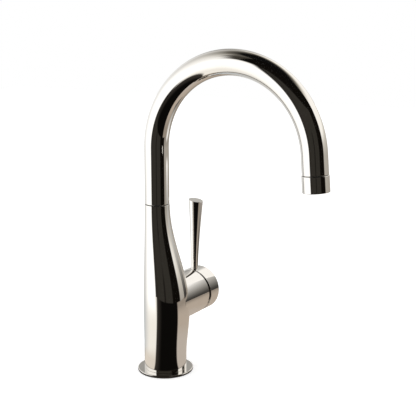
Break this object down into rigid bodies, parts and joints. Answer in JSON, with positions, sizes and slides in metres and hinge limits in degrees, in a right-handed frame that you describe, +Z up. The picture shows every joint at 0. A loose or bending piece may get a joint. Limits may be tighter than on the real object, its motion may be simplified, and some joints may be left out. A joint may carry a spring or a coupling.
{
  "type": "pull-down kitchen faucet",
  "caption": "Single-lever kitchen faucet: bottle-shaped body with a side valve barrel and upright flared lever, swivelling gooseneck spout and compact pull-down nozzle.",
  "frame": {"origin": "centre of the body's base on the deck plane", "axes": "+Z up, the spout points to -Y, the valve barrel and handle point to +X"},
  "size_m": [0.1064, 0.2361, 0.4546],
  "materials": {
    "polished_nickel": "polished nickel plate, warm and mirror-like",
    "brass": "machined, bare",
    "black_rubber": "matt moulded",
    "stainless_steel": "fine machined",
    "white_plastic": "moulded acetal",
    "dark_plastic": "moulded acetal",
    "red_plastic": "moulded",
    "ceramic": "lapped alumina, stood in for by gloss plastic",
    "hose_sheath": "braided grey nylon sheath"
  },
  "bodies": {
    "faucet_body": {"body_casting": "polished_nickel", "deck_flange": "polished_nickel", "base_gasket": "black_rubber", "threaded_shank": "brass", "under_deck_rubber_washer": "black_rubber", "under_deck_steel_washer": "stainless_steel", "mounting_nut": "brass", "waterway_block": "brass", "upper_swivel_bush": "white_plastic", "lower_swivel_bush": "white_plastic", "hose_in_body": "hose_sheath", "hose_end_fitting": "brass", "cartridge_base_seals": "black_rubber", "cartridge_base": "white_plastic", "fixed_ceramic_disc": "ceramic", "cartridge_housing": "white_plastic", "cartridge_nut": "brass", "temperature_limit_ring": "red_plastic", "dome_cover": "polished_nickel"},
    "spout": {"spout_tube": "polished_nickel", "spout_foot": "brass", "spout_snap_ring": "stainless_steel", "swivel_o_ring": "black_rubber", "seam_washer": "black_rubber", "docking_sleeve": "white_plastic", "hose_in_spout": "hose_sheath"},
    "nozzle": {"nozzle_shell": "polished_nickel", "nozzle_buffer_ring": "black_rubber", "nozzle_stem": "brass", "hose_connector": "brass", "check_valve_body": "white_plastic", "check_valve_poppet": "dark_plastic", "aerator_washer": "black_rubber", "aerator_housing": "dark_plastic", "aerator_core": "white_plastic", "aerator_screen": "stainless_steel"},
    "mixer": {"cartridge_rotor": "white_plastic", "pivot_pin": "stainless_steel"},
    "valve_disc": {"moving_ceramic_disc": "ceramic", "disc_carrier": "dark_plastic"},
    "handle": {"spindle": "brass", "handle_cap": "polished_nickel", "handle_grub_screw": "stainless_steel", "grub_screw_plug": "polished_nickel", "lever": "polished_nickel"}
  },
  "joints": [
    {"name": "spout_swivel", "type": "hinge", "parent": "faucet_body", "child": "spout", "pos_m": [0, 0.0094, 0.198], "axis": [0, 0, 1], "range_deg": [-75, 75]},
    {"name": "nozzle_pull", "type": "slide", "parent": "spout", "child": "nozzle", "axis": [0, -0.0802, -0.9968], "range_m": [0, 0.2], "stiffness_N_per_m": 2, "springref_m": -1.5},
    {"name": "temperature_turn", "type": "hinge", "parent": "faucet_body", "child": "mixer", "pos_m": [0.047, -0.0026, 0.0823], "axis": [1, 0, 0], "range_deg": [-45, 45]},
    {"name": "flow_lift", "type": "hinge", "parent": "mixer", "child": "handle", "pos_m": [0.047, -0.0026, 0.0823], "axis": [0, 1, 0], "range_deg": [0, 15]},
    {"name": "disc_slide", "type": "slide", "parent": "mixer", "child": "valve_disc", "axis": [0, 0, 1], "range_m": [0, 0.0039]}
  ],
  "couplings": [
    {"joint": "disc_slide", "follows": "flow_lift", "m_per_rad": 0.014829}
  ]
}
